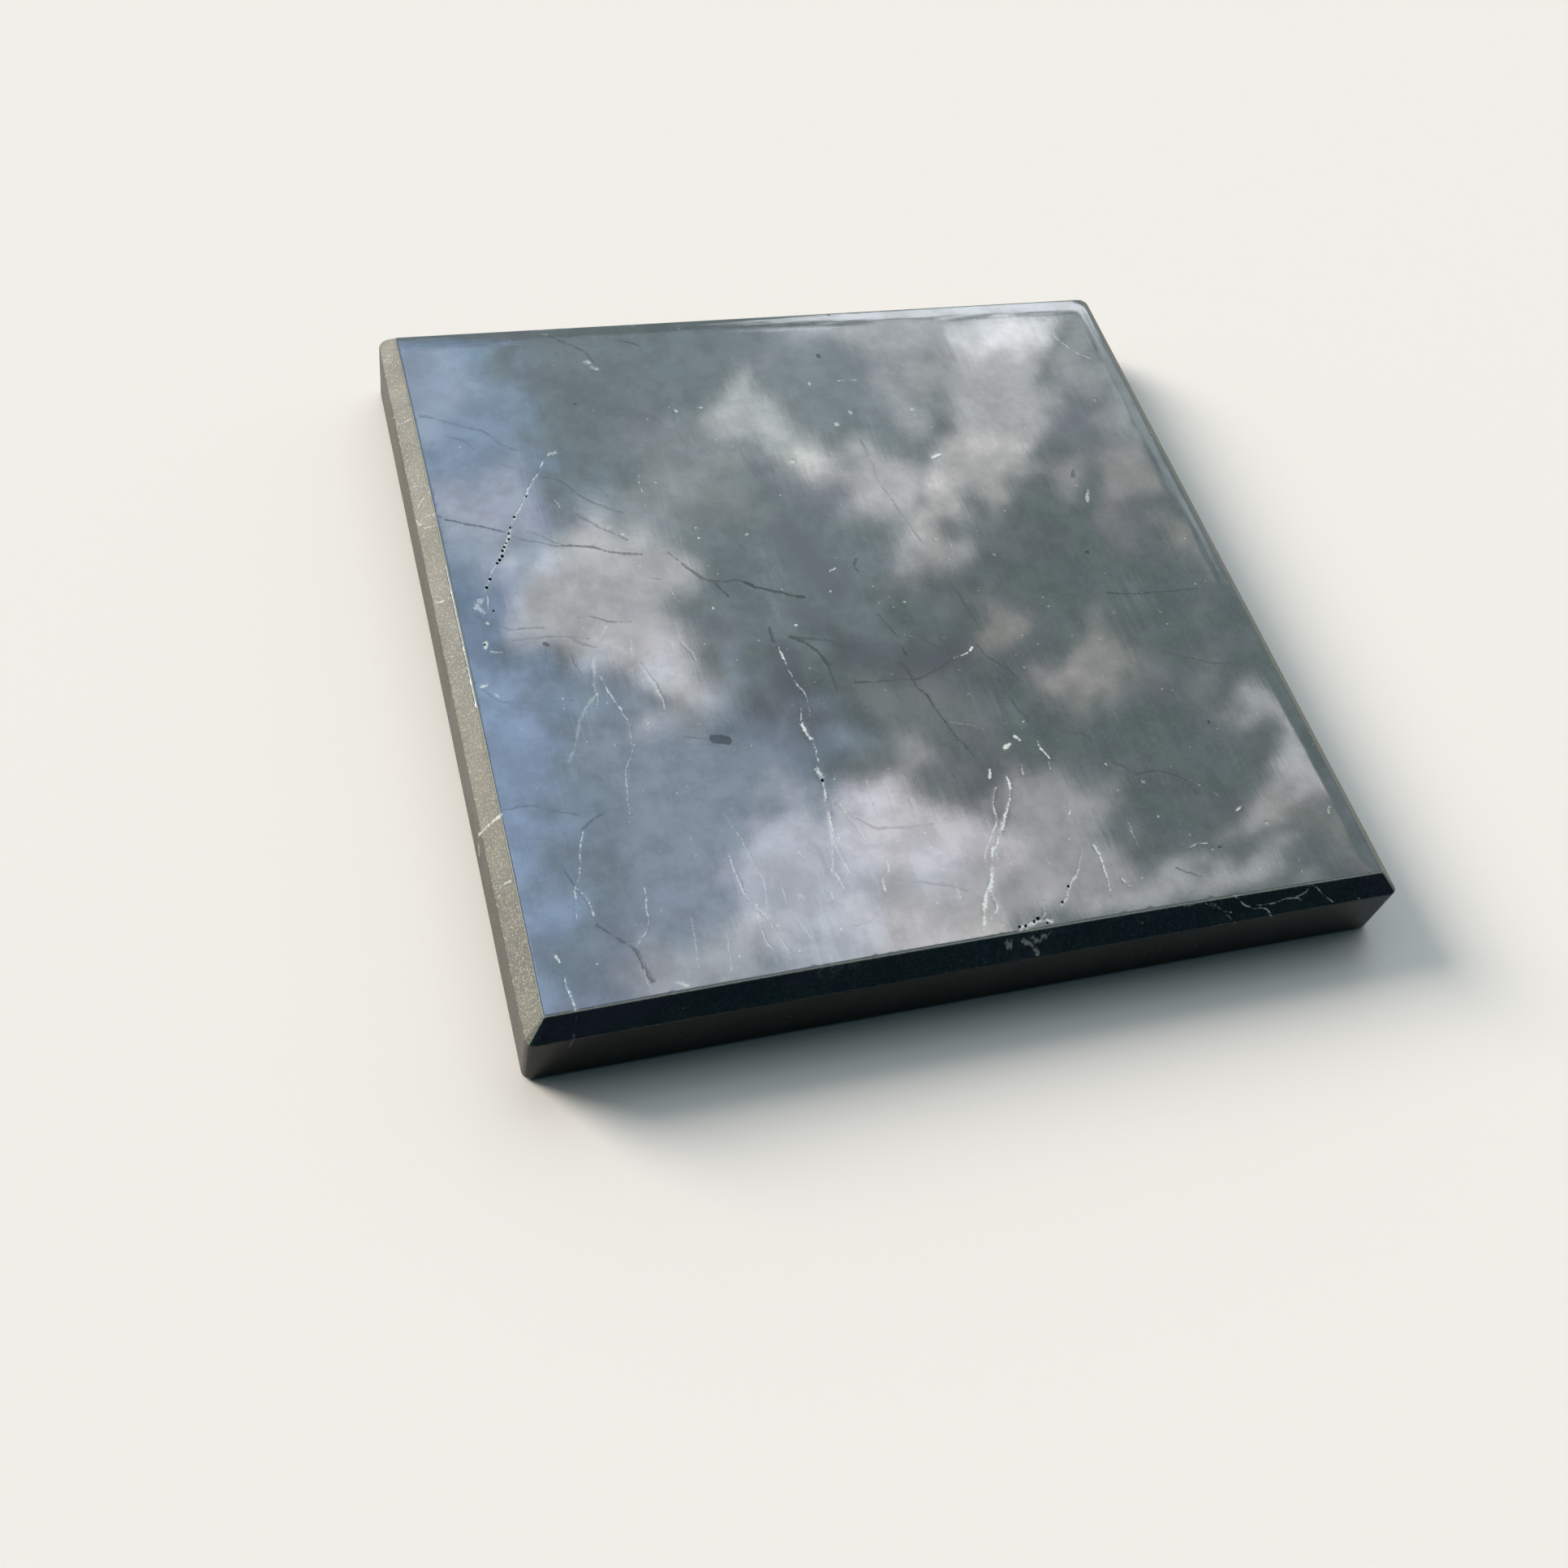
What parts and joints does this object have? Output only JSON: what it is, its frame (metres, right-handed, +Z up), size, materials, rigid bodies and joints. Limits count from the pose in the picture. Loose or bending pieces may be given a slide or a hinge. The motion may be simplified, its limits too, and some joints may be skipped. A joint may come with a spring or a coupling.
{
  "type": "stone slab",
  "caption": "Square slab of polished black stone with a chamfered edge round its flat working face, small enough to hold in one hand.",
  "frame": {"origin": "centre of the underside, at the height of the surface that the slab rests on", "axes": "+X right along the front edge, +Y from the front edge to the back edge, +Z up through the polished working face"},
  "size_m": [0.1, 0.1, 0.01],
  "materials": {
    "polished_stone": "near-black fine-grained stone with thin pale and dark veins; working face polished, chamfer and sides ground"
  },
  "bodies": {
    "root": {"stone_slab": "polished_stone"}
  },
  "joints": []
}
